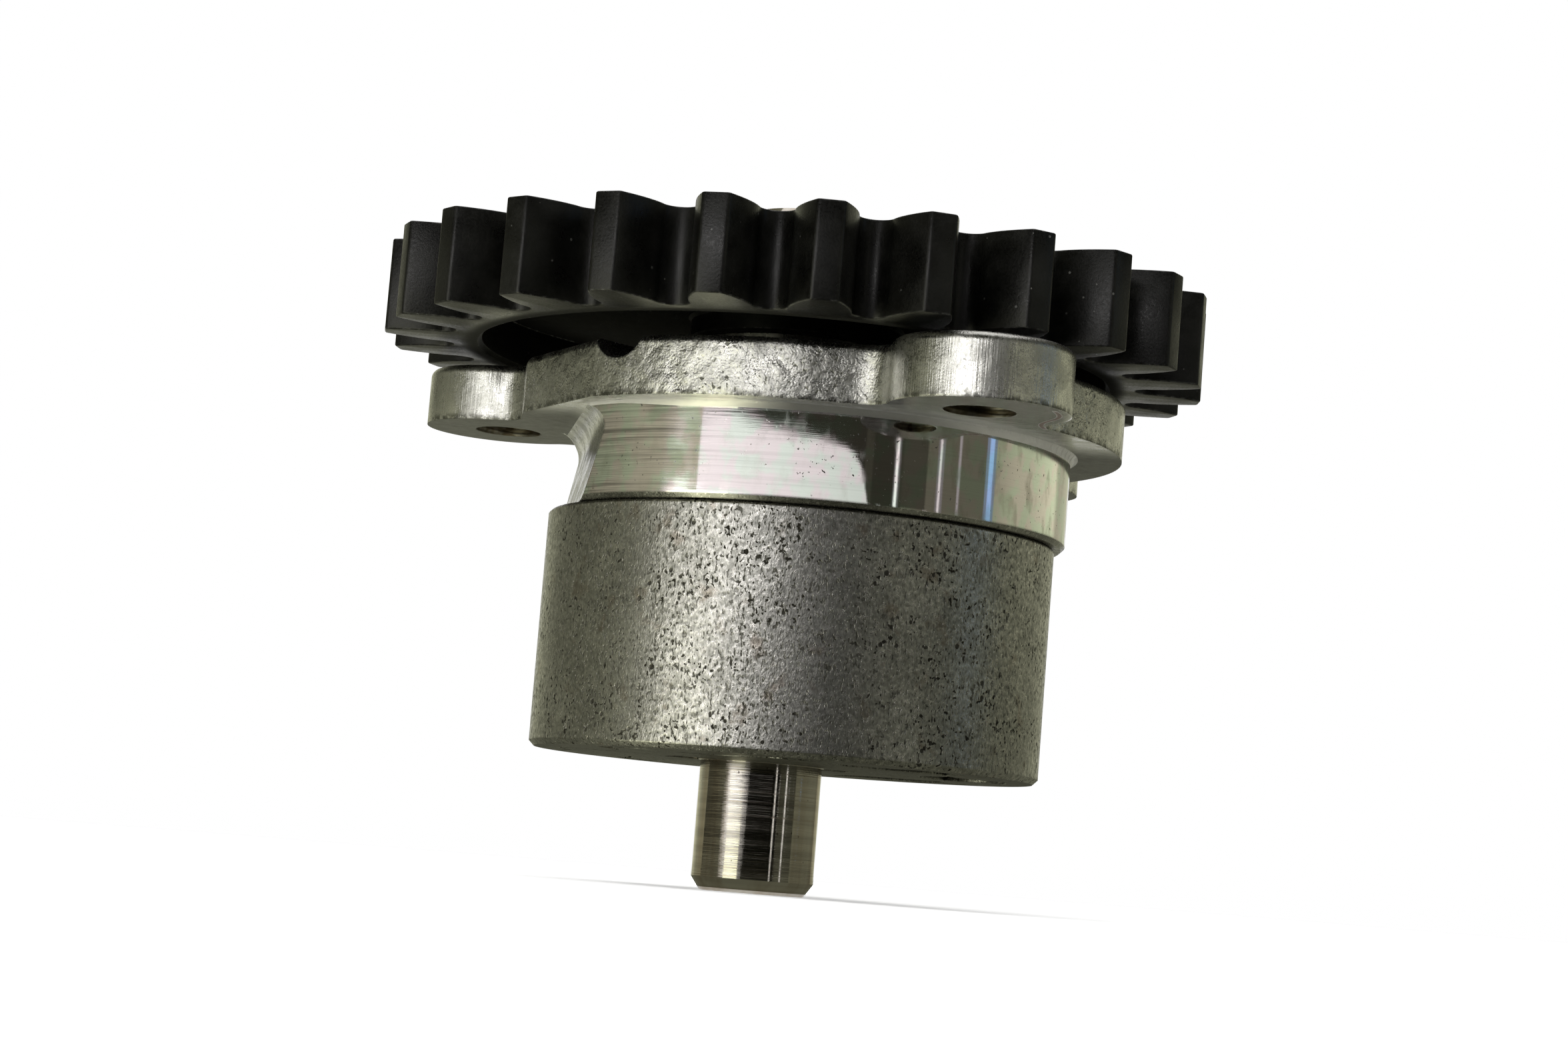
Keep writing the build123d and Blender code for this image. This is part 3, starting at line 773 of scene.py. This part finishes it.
@dataclass(frozen=True)
class ToothedGear:
    """The spur gear: a rim of repeated teeth on a web and a keyed hub, in mm and degrees."""

    teeth: int = 25
    module: float = 3.0
    first_tooth: float = -101.3
    root_share: float = 1.2
    tooth_thickness: float = 5.0
    pressure_angle: float = 20.0
    root_steps: int = 10
    flank_steps: int = 8
    flank_ease: float = 1.3
    tip_steps: int = 4
    bottom: float = 7.0
    top: float = 16.0
    edge_round: float = 0.16
    tip_round: float = 0.30
    recess_radius: float = 31.0
    outer_recess_radius: float = 30.6
    recess_edge: float = 0.4
    web_bottom: float = 11.5
    web_top: float = 14.5
    hub_bottom: float = 9.1
    hub_radius: float = 10.5
    hub_edge: float = 0.3
    bore_radius: float = 6.02
    bore_points: int = 140
    key_half: float = 2.05
    key_reach: float = 7.6
    key_points: int = 7
    overlap: float = 0.3
    seam: float = 0.002
    sharp_edge: float = 28.0

    @property
    def pitch_radius(self) -> float:
        """Radius of the pitch circle."""
        return self.module * self.teeth / 2

    @property
    def tip_radius(self) -> float:
        """Radius over the teeth."""
        return self.pitch_radius + self.module

    @property
    def root_radius(self) -> float:
        """Radius at the bottom of the spaces."""
        return self.pitch_radius - self.root_share * self.module

    def flank_angle(self, radius: float) -> float:
        """Half the angle of a tooth at a radius.

        Args:
            radius: Distance from the gear's axis.

        Returns:
            The half angle, in radians.
        """
        slope = math.radians(self.pressure_angle)
        roll = math.acos(min(1.0, self.pitch_radius * math.cos(slope) / radius))
        half = self.tooth_thickness / (2 * self.pitch_radius)
        return half + math.tan(slope) - slope - math.tan(roll) + roll

    def half_profile(self) -> list[tuple[float, float]]:
        """One side of a tooth from the middle of the space to the tooth's tip.

        Returns:
            Points with the tooth's axis along X.
        """
        base = self.pitch_radius * math.cos(math.radians(self.pressure_angle))
        middle = -math.pi / self.teeth
        lean_x = math.cos(middle)
        lean_y = math.sin(middle)
        gap = -middle - self.flank_angle(base)
        chord = base * math.sin(gap)
        sag = base * math.cos(gap) - self.root_radius
        arc = (chord * chord + sag * sag) / (2 * sag)
        sweep = math.atan2(chord, arc - sag)
        points = []
        for turn in np.linspace(0.0, sweep, self.root_steps + 1):
            u = self.root_radius + arc - arc * math.cos(turn)
            v = arc * math.sin(turn)
            points.append((u * lean_x - v * lean_y, u * lean_y + v * lean_x))
        for step in range(1, self.flank_steps + 1):
            radius = base + (self.tip_radius - base) * (step / self.flank_steps) ** self.flank_ease
            angle = -self.flank_angle(radius)
            points.append((radius * math.cos(angle), radius * math.sin(angle)))
        corner = np.array(points.pop())
        before = np.array(points[-1])
        along = (corner - before) / np.linalg.norm(corner - before)
        across = np.array((-corner[1], corner[0])) / np.linalg.norm(corner)
        start = corner - along * self.tip_round
        end = corner + across * self.tip_round
        for t in np.linspace(0.0, 1.0, self.tip_steps + 1):
            points.append(tuple((1 - t) ** 2 * start + 2 * t * (1 - t) * corner + t * t * end))
        return points + [(self.tip_radius, 0.0)]

    def sector(self) -> bpy.types.Object:
        """One tooth with its share of the rim.

        Returns:
            An object whose mesh is open only where it meets the next tooth.
        """
        half = self.half_profile()
        outline = np.array(half + [(x, -y) for x, y in half[-2::-1]])
        step = np.gradient(outline, axis=0)
        limit = math.pi / self.teeth
        step[0] = (math.sin(limit), math.cos(limit))
        step[-1] = (-math.sin(limit), math.cos(limit))
        inward = np.stack((-step[:, 1], step[:, 0]), 1) / np.linalg.norm(step, axis=1)[:, None]
        angle = np.arctan2(outline[:, 1], outline[:, 0])

        def ring(radius: float) -> np.ndarray:
            """Points on a circle below the outline's points."""
            return np.stack((radius * np.cos(angle), radius * np.sin(angle)), 1)

        def rounded(turn: float) -> tuple[np.ndarray, float]:
            """The outline drawn in along a rounded edge, and how far that is from the face."""
            rounding = self.edge_round
            return outline + inward * rounding * (1 - math.sin(turn)), rounding * (1 - math.cos(turn))

        lower = [rounded(turn) for turn in np.radians((0, 30, 60, 90))]
        edge = self.recess_edge
        inside = self.recess_radius
        outside = self.outer_recess_radius
        hidden = self.web_bottom + 1.0
        rows = [(line, self.bottom + rise) for line, rise in lower]
        rows += [(line, self.top - rise) for line, rise in reversed(lower)]
        rows += [(ring(outside + edge), self.top), (ring(outside), self.top - edge),
                 (ring(outside), hidden), (ring(inside), hidden),
                 (ring(inside), self.bottom + edge), (ring(inside + edge), self.bottom)]
        verts = [(x * MM, y * MM, z * MM) for row, z in rows for x, y in row]
        faces = quads(len(rows), len(outline), closed_rows=True)
        return show("gear_tooth", mesh_of("gear_tooth", verts, faces))

    def rim_tree(self) -> bpy.types.NodeTree:
        """Geometry nodes that set the tooth round the gear's axis.

        Returns:
            The tree, with inputs for the tooth, its number and start, the centre, the seam and the finish.
        """
        group = bpy.data.node_groups.new("toothed_rim", "GeometryNodeTree")
        kinds = {"Tooth": "Geometry", "Teeth": "Int", "First Tooth": "Float", "Centre": "Vector",
                 "Seam": "Float", "Finish": "Material"}
        for name, kind in kinds.items():
            group.interface.new_socket(name, in_out="INPUT", socket_type="NodeSocket" + kind)
        group.interface.new_socket("Rim", in_out="OUTPUT", socket_type="NodeSocketGeometry")
        graph = Graph(group)
        tooth = graph.make("NodeGroupInput", {}, "Tooth")
        teeth = tooth.beside("Teeth")
        points = graph.make("GeometryNodePoints", {"Count": teeth, "Position": tooth.beside("Centre")})
        index = graph.make("GeometryNodeInputIndex", {})
        share = graph.calc("DIVIDE", math.tau, teeth)
        turn = graph.calc("MULTIPLY_ADD", index, share, tooth.beside("First Tooth"))
        spin = graph.make("ShaderNodeCombineXYZ", {"Z": turn})
        placed = {"Points": points, "Instance": tooth, "Rotation": spin}
        rim = graph.make("GeometryNodeInstanceOnPoints", placed)
        rim = graph.make("GeometryNodeRealizeInstances", {0: rim})
        rim = graph.make("GeometryNodeMergeByDistance", {"Geometry": rim, "Distance": tooth.beside("Seam")})
        rim = graph.make("GeometryNodeSetMaterial", {"Geometry": rim, "Material": tooth.beside("Finish")})
        graph.end("NodeGroupOutput", rim)
        return group

    def rim(self, finish: bpy.types.Material) -> bpy.types.Mesh:
        """All the teeth as one closed ring.

        Args:
            finish: The gear's material.

        Returns:
            The ring's mesh.
        """
        tooth = self.sector()
        tree = self.rim_tree()
        set_round = tooth.modifiers.new("toothed_rim", "NODES")
        set_round.node_group = tree
        values = {"Teeth": self.teeth, "First Tooth": math.radians(self.first_tooth),
                  "Centre": (SHAFT_X, 0.0, 0.0), "Seam": self.seam * MM, "Finish": finish}
        for item in tree.interface.items_tree:
            if item.name in values:
                set_round[item.identifier] = values[item.name]
        mesh = bpy.data.meshes.new_from_object(tooth.evaluated_get(bpy.context.evaluated_depsgraph_get()))
        tooth.modifiers.remove(set_round)
        bpy.data.objects.remove(tooth)
        return mesh

    def hub(self) -> bpy.types.Mesh:
        """The web and the hub with its bore and keyway.

        Returns:
            The closed mesh.
        """
        start = math.asin(self.key_half / self.bore_radius)
        turns = np.linspace(start, math.tau - start, self.bore_points)
        bore = [(self.bore_radius * math.cos(turn), self.bore_radius * math.sin(turn)) for turn in turns]
        bore += [(self.key_reach, y) for y in np.linspace(-self.key_half, self.key_half, self.key_points)]
        angles = [math.atan2(y, x) for x, y in bore]
        edge = self.hub_edge
        hub = self.hub_radius
        rim = self.recess_radius + self.overlap
        profile = ((hub - edge, self.hub_bottom), (hub, self.hub_bottom + edge),
                   (hub, self.web_bottom - edge), (hub + edge, self.web_bottom),
                   (rim, self.web_bottom), (rim, self.web_top),
                   (hub + edge, self.web_top), (hub, self.web_top + edge),
                   (hub, self.top - edge), (hub - edge, self.top))
        rows = [[(x, y, self.hub_bottom) for x, y in bore]]
        rows += [[(r * math.cos(a), r * math.sin(a), z) for a in angles] for r, z in profile]
        rows += [[(x, y, self.top) for x, y in bore]]
        verts = [(x * MM + SHAFT_X, y * MM, z * MM) for row in rows for x, y, z in row]
        return mesh_of("gear_hub", verts, quads(len(rows), len(bore), closed_rows=True, closed_columns=True))

    def build(self, finish: bpy.types.Material) -> None:
        """Makes the gear and puts it in place of its plain solid.

        Args:
            finish: The gear's material.
        """
        joined = bmesh.new()
        joined.from_mesh(self.rim(finish))
        joined.from_mesh(self.hub())
        mesh = smooth_mesh("toothed_gear", joined, self.sharp_edge)
        mesh.materials.append(finish)
        gear = show("toothed_gear", mesh)
        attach(gear, "rotating_shaft")
        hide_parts("drive_gear")
        log.info("toothed_gear: %d teeth, %d faces", self.teeth, len(mesh.polygons))


@dataclass(frozen=True)
class Panel:
    """A card, flag or softbox of the light tent, given in degrees by the directions it fills."""

    name: str
    left: float
    right: float
    low: float
    high: float
    level: float
    colour: Colour = WHITE
    distance: float = 4.5
    top_edge: tuple[tuple[float, float], ...] = ()
    far_level: float | None = None

    def paint(self) -> bpy.types.Material:
        """Its glow, even or changing smoothly from its left side to its right.

        Returns:
            The material.
        """
        paint = bpy.data.materials.new(self.name)
        graph = graph_of(paint)
        graph.glow(self.colour, self.level if self.far_level is None else self.change(graph))
        return paint

    def change(self, graph: Graph) -> Signal:
        """Its level at each point.

        Args:
            graph: The graph of its material.

        Returns:
            The level.
        """
        middle = math.radians((self.left + self.right) / 2)
        reach = self.distance * math.sin(math.radians((self.right - self.left) / 2))
        facing = (math.cos(middle), math.sin(middle), 0.0)
        inputs = {0: graph.make("ShaderNodeTexCoord", {}, "Object"), 1: facing}
        across = graph.make("ShaderNodeVectorMath", inputs, "Value", operation="DOT_PRODUCT")
        inputs = {0: across, 1: -reach, 2: reach, 3: self.level, 4: self.far_level}
        return graph.make("ShaderNodeMapRange", inputs)

    def build(self) -> None:
        """Makes the panel as a piece of a sphere round the pump, seen only in reflections."""
        across = 48 if self.top_edge else max(2, round(abs(self.right - self.left) / 3))
        up = 8
        verts = []
        for share in np.linspace(0.0, 1.0, up + 1):
            for turn in np.linspace(self.left, self.right, across + 1):
                high = np.interp(turn, *zip(*self.top_edge)) if self.top_edge else self.high
                verts.append(toward(turn, self.low + (high - self.low) * share, self.distance))
        put_up(self.name, verts, quads(up + 1, across + 1), self.paint())


@dataclass(frozen=True)
class FloorCard:
    """A card on the floor, seen only in reflections, given by its sides in degrees and radii in metres."""

    name: str
    left: float
    right: float
    level: float
    inner: float = 30 * MM
    outer: float = 0.60

    def build(self, height: float) -> None:
        """Makes the card.

        Args:
            height: Where it lies, in metres.
        """
        turns = np.radians(np.linspace(self.left, self.right, 49))
        verts = [(r * math.sin(a), -r * math.cos(a), height) for r in (self.inner, self.outer) for a in turns]
        count = len(turns)
        faces = [(i, count + i, count + i + 1, i + 1) for i in range(count - 1)]
        paint = bpy.data.materials.new(self.name)
        graph_of(paint).glow(ROOM, self.level)
        put_up(self.name, verts, faces, paint)


@dataclass(frozen=True)
class Lamp:
    """A soft square lamp aimed at the pump. Directions are in degrees from the front and the horizon."""

    name: str
    azimuth: float
    elevation: float
    watts: float
    size: float
    distance: float = 0.7

    def build(self) -> None:
        """Hangs the lamp."""
        light = bpy.data.lights.new(self.name, "AREA")
        light.energy = self.watts
        light.size = self.size
        lamp = bpy.data.objects.new(self.name, light)
        bpy.context.scene.collection.objects.link(lamp)
        lamp.location = toward(self.azimuth, self.elevation, self.distance)
        lamp.rotation_euler = (-lamp.location).to_track_quat("-Z", "Y").to_euler()
        lamp.visible_glossy = False


UPPER_WINDOW_EDGE = ((-47, 8.3), (-31, 8.16), (-20, 8.0), (-5, 7.83), (5, 7.76), (16, 7.65), (21, 7.42),
                     (24, 7.08), (27.5, 6.3))
SILL_EDGE = ((-70, -0.8), (-57, 1.9), (-48, 1.9), (-20, -0.8))


@dataclass(frozen=True)
class Studio:
    """White room with a light tent, soft lamps, a pale floor and the camera."""

    floor_height: float = -44.8 * MM
    floor_radius: float = 0.6
    floor_sides: int = 96
    floor_colour: Colour = (0.80, 0.80, 0.79)
    floor_glow: float = 0.45
    card_lift: float = 0.3 * MM
    ambient: float = 0.40
    camera_place: tuple[float, float, float] = (SHAFT_X, -311.215 * MM, -42.418 * MM)
    yaw: float = 0.0010
    pitch: float = 0.1096
    roll: float = 0.0807
    lens: float = 72.605

    panels: tuple[Panel, ...] = (
        Panel("tent_wall_left", -140, -47, -60, 90, 0.07, ROOM, 5.0),
        Panel("tent_wall_right", 24, 140, -60, 90, 0.05, ROOM, 5.0),
        Panel("tent_wall_front", -47, 24, -60, 90, 0.03, ROOM, 5.0),
        Panel("tent_wall_back", 140, 220, 25, 90, 0.20, ROOM, 5.0),
        Panel("side_card_left", -140, -47, -60, 9.2, 0.10, ROOM, far_level=0.54),
        Panel("side_card_left_over", -125, -75, 9.2, 13, 0.30, ROOM),
        Panel("side_card_low", 41, 140, -60, 5.5, 0.13, ROOM),
        Panel("side_card_shaft", 72, 140, -60, 1.9, 0.20, ROOM, 4.45),
        Panel("side_card_shaft_left", -114, -47, -60, 1.9, 0.075, ROOM, 4.45),
        Panel("side_card_shaft_edge", -140, -114, -60, 1.9, 0.36, ROOM, 4.45),
        Panel("flag_shaft", 37, 72, -60, 1.9, 0.05, ROOM, 4.45),
        Panel("side_card_over", 30, 75, 9.3, 14, 0.72, ROOM),
        Panel("side_card_right_over", 75, 125, 9.2, 13, 0.40, ROOM),
        Panel("window_over", 3, 11, 11.5, 16, 1.3, DAY, 4.4),
        Panel("side_card_dim", 41, 52, 5.5, 9.2, 0.06, ROOM),
        Panel("side_card_mid", 52, 88, 5.5, 9.2, 0.13, ROOM),
        Panel("side_card_right", 88, 140, 5.5, 9.2, 0.34, ROOM, far_level=0.95),
        Panel("back_card_left", 196, 220, -60, 25, 0.70, ROOM, far_level=0.40),
        Panel("back_card_right", 140, 165, -60, 25, 0.40, ROOM, far_level=0.60),
        Panel("window_upper", -47, 27.5, 6.2, 8.3, 1.30, DAY, top_edge=UPPER_WINDOW_EDGE, far_level=0.84),
        Panel("window_middle", -27, 24, 2.8, 6.2, 0.34, DAY),
        Panel("window_bright_left", -64, -55, 2.3, 6.2, 0.6, DAY, 4.4, far_level=5.2),
        Panel("window_bright", -55, -36, 2.3, 6.2, 5.2, DAY, 4.4),
        Panel("window_bright_right", -36, -20, 2.3, 6.2, 5.2, DAY, 4.4, far_level=0.5),
        Panel("window_sill", -70, -20, -6, 1.9, 1.25, DAY, 4.35, SILL_EDGE),
        Panel("window_top_left", -42, -30, 8.9, 15, 0.6, DAY, 4.4, far_level=6.8),
        Panel("window_top", -30, -14, 8.9, 15, 7.4, DAY, 4.4),
        Panel("window_top_right", -14, -5, 8.9, 15, 6.8, DAY, 4.4, far_level=0.3),
        Panel("flag_front", -47, 37, -60, 2.8, 0.004, ROOM, 4.45),
        Panel("flag_right", 27.5, 37, -60, 30, 0.034, ROOM, 4.6),
        Panel("strip_near", 37.5, 38.7, 2.2, 25, 1.3, DAY, 4.0),
        Panel("strip_near_edge", 36.9, 39.6, 2.2, 25, 0.16, DAY, 4.2),
        Panel("strip_mid", 57.7, 58.7, 2.2, 25, 0.9, DAY, 4.0),
        Panel("strip_mid_edge", 56.8, 60.0, 2.2, 25, 0.22, DAY, 4.2),
        Panel("strip_low_near", 30.0, 32.0, -3, 2.0, 1.8, DAY, 4.0),
        Panel("strip_low_mid", 50.8, 53.0, -3, 2.0, 1.5, DAY, 4.0),
        Panel("strip_far", 67.2, 68.4, 2.2, 25, 0.38, DAY, 4.0),
        Panel("strip_blue", 83.8, 86.4, 2.2, 35, 0.95, SKY, 4.0),
        Panel("strip_blue_edge", 82.2, 88.0, 2.2, 35, 0.34, PALE_SKY, 4.2),
        Panel("top_softbox", -180, 180, 62, 90, 1.2, DAY, 4.0),
        Panel("rear_softbox", 150, 205, 32, 58, 1.4, DAY, 4.0),
    )
    floor_cards: tuple[FloorCard, ...] = (
        FloorCard("floor_card_under", -180, 180, 0.14, 0.5 * MM, 30 * MM),
        FloorCard("floor_card_left", -140, -56, 0.14, 30 * MM, 110 * MM),
        FloorCard("floor_card_left_far", -140, -56, 0.30, 110 * MM),
        FloorCard("floor_card_window", -56, -30, 2.6),
        FloorCard("floor_card_front", -30, 37, 0.05, 30 * MM, 110 * MM),
        FloorCard("floor_card_front_far", -30, 37, 0.01, 110 * MM),
        FloorCard("floor_card_right", 37, 140, 0.18, 30 * MM, 110 * MM),
        FloorCard("floor_card_right_far", 37, 140, 0.11, 110 * MM),
        FloorCard("floor_card_back_right", 140, 180, 0.24),
        FloorCard("floor_card_back_left", 180, 220, 0.36),
    )
    lamps: tuple[Lamp, ...] = (
        Lamp("key_lamp", -38, 42, 2.6, 0.35),
        Lamp("fill_lamp", 55, 25, 1.0, 0.5),
        Lamp("rear_lamp", 170, 45, 1.6, 0.5),
        Lamp("top_lamp", 0, 88, 1.2, 0.5),
    )

    def world(self) -> None:
        """A white room in sight and reflections, and plain soft light elsewhere."""
        world = bpy.data.worlds.new("white_room")
        bpy.context.scene.world = world
        graph = graph_of(world)
        level = graph.calc("MULTIPLY_ADD", graph.in_sight(), 1.0 - self.ambient, self.ambient)
        light = graph.make("ShaderNodeBackground", {"Color": opaque(WHITE), "Strength": level})
        graph.end("ShaderNodeOutputWorld", light)

    def floor(self) -> None:
        """A pale floor, white in the open, grey in the pump's shadow and clear from below."""
        turns = [math.tau * i / self.floor_sides for i in range(self.floor_sides)]
        reach = self.floor_radius
        verts = [(reach * math.cos(a), reach * math.sin(a), self.floor_height) for a in turns]
        mesh = mesh_of("floor", verts, [tuple(range(self.floor_sides))])
        paint = bpy.data.materials.new("pale_floor")
        graph = graph_of(paint)
        surface = graph.make("ShaderNodeBsdfPrincipled", {
            "Base Color": opaque(self.floor_colour), "Roughness": 0.9, "Specular IOR Level": 0.0,
            "Emission Color": opaque(WHITE), "Emission Strength": graph.in_sight() * self.floor_glow})
        seen = graph.make("ShaderNodeLightPath", {}, "Is Camera Ray")
        from_below = seen * graph.make("ShaderNodeNewGeometry", {}, "Backfacing")
        clear = graph.make("ShaderNodeBsdfTransparent", {})
        floor = graph.make("ShaderNodeMixShader", {0: from_below, 1: surface, 2: clear})
        graph.end("ShaderNodeOutputMaterial", floor)
        mesh.materials.append(paint)
        show("floor", mesh)

    def camera(self) -> None:
        """The camera, a little below the flange and tilted up."""
        level = Vector((math.cos(self.yaw), -math.sin(self.yaw), 0.0))
        flat = math.cos(self.pitch)
        ahead = Vector((math.sin(self.yaw) * flat, math.cos(self.yaw) * flat, math.sin(self.pitch)))
        above = level.cross(ahead)
        right = level * math.cos(self.roll) + above * math.sin(self.roll)
        up = above * math.cos(self.roll) - level * math.sin(self.roll)
        data = bpy.data.cameras.new("camera")
        data.lens = self.lens
        data.sensor_width = 36.0
        data.clip_start = 0.01
        eye = bpy.data.objects.new("camera", data)
        bpy.context.scene.collection.objects.link(eye)
        turn = Matrix((right, up, -ahead)).transposed().to_4x4()
        eye.matrix_world = Matrix.Translation(self.camera_place) @ turn
        bpy.context.scene.camera = eye

    def build(self) -> None:
        """Sets up the whole studio."""
        self.world()
        self.floor()
        for card in self.floor_cards:
            card.build(self.floor_height + self.card_lift)
        for piece in self.panels + self.lamps:
            piece.build()
        self.camera()
        bpy.context.scene.view_settings.view_transform = "Standard"
        log.info("studio: %d panels and %d lamps", len(self.panels), len(self.lamps))


def toward(azimuth: float, elevation: float, distance: float) -> tuple[float, float, float]:
    """A place round the pump.

    Args:
        azimuth: Its side, in degrees from the front, to the right.
        elevation: Its height above the horizon, in degrees.
        distance: How far from the origin it is, in metres.

    Returns:
        The place, in metres.
    """
    turn = math.radians(azimuth)
    rise = math.radians(elevation)
    flat = distance * math.cos(rise)
    return flat * math.sin(turn), -flat * math.cos(turn), distance * math.sin(rise)


def quads(rows: int, columns: int, closed_rows: bool = False,
          closed_columns: bool = False) -> list[tuple[int, ...]]:
    """The faces between rows of points that are numbered one row after another.

    Args:
        rows: Number of rows.
        columns: Number of points in a row.
        closed_rows: Whether the last row meets the first.
        closed_columns: Whether the last point of a row meets its first.

    Returns:
        The four points of each face.
    """
    faces = []
    for row in range(rows if closed_rows else rows - 1):
        below = row * columns
        above = (row + 1) % rows * columns
        for i in range(columns if closed_columns else columns - 1):
            j = (i + 1) % columns
            faces.append((below + i, below + j, above + j, above + i))
    return faces


def mesh_of(name: str, verts: list[tuple[float, ...]], faces: list[tuple[int, ...]]) -> bpy.types.Mesh:
    """Makes a mesh.

    Args:
        name: Its name.
        verts: Its points, in metres.
        faces: The points of each face.

    Returns:
        The mesh.
    """
    mesh = bpy.data.meshes.new(name)
    mesh.from_pydata(verts, [], faces)
    return mesh


def smooth_mesh(name: str, form: bmesh.types.BMesh, sharp_edge: float) -> bpy.types.Mesh:
    """Ends a form as a mesh that is shaded smoothly between its sharp edges.

    Args:
        name: The mesh's name.
        form: The closed form, which is used up.
        sharp_edge: The least angle of a sharp edge, in degrees.

    Returns:
        The mesh.
    """
    bmesh.ops.recalc_face_normals(form, faces=form.faces)
    for face in form.faces:
        face.smooth = True
    for side in form.edges:
        side.smooth = side.calc_face_angle(0.0) < math.radians(sharp_edge)
    mesh = bpy.data.meshes.new(name)
    form.to_mesh(mesh)
    form.free()
    return mesh


def show(name: str, mesh: bpy.types.Mesh) -> bpy.types.Object:
    """Puts a mesh in the scene at the origin.

    Args:
        name: The object's name.
        mesh: Its mesh.

    Returns:
        The object.
    """
    made = bpy.data.objects.new(name, mesh)
    bpy.context.scene.collection.objects.link(made)
    return made


def put_up(name: str, verts: list[tuple[float, ...]], faces: list[tuple[int, ...]],
           paint: bpy.types.Material) -> None:
    """Makes a studio card that only reflections see.

    Args:
        name: The card's name.
        verts: Its points, in metres.
        faces: Its faces.
        paint: Its material.
    """
    mesh = mesh_of(name, verts, faces)
    mesh.materials.append(paint)
    card = show(name, mesh)
    card.visible_camera = card.visible_diffuse = card.visible_shadow = card.visible_transmission = False


def dress(node: str, finish: bpy.types.Material) -> None:
    """Gives a frame node its finish.

    Args:
        node: The node's name.
        finish: The material.
    """
    slot = frame["nodes"][node].material_slots[0]
    slot.link = "OBJECT"
    slot.material = finish
    log.info("%s: %s", node, finish.name)


def main() -> None:
    """Dresses the pump, builds its gear and lights the studio."""
    logging.basicConfig(level=logging.INFO, format="%(name)s %(message)s")
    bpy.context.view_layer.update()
    TappedBody().build(BodyFinish().build())
    dress("outer_rotor", SinteredFinish("outer_rotor_steel").build())
    dress("inner_rotor", SinteredFinish("inner_rotor_steel").build())
    dress("drive_shaft", ShaftFinish().build())
    bronze = PlainFinish("bearing_bronze", (0.55, 0.36, 0.17), 0.32, turned=0.3).build()
    dress("gear_end_bush", bronze)
    dress("rotor_end_bush", bronze)
    dress("thrust_washer", PlainFinish("washer_steel_finish", (0.42, 0.42, 0.40), 0.28, turned=0.3).build())
    hard = PlainFinish("hardened_pin_steel", (0.34, 0.34, 0.33), 0.25).build()
    dress("gear_key", hard)
    dress("rotor_drive_pin", hard)
    spring = PlainFinish("spring_ring_steel", (0.045, 0.044, 0.042), 0.34, metallic=0.3).build()
    dress("gear_retaining_ring", spring)
    ToothedGear().build(GearFinish().build())
    Studio().build()


if __name__ == "__main__":
    main()
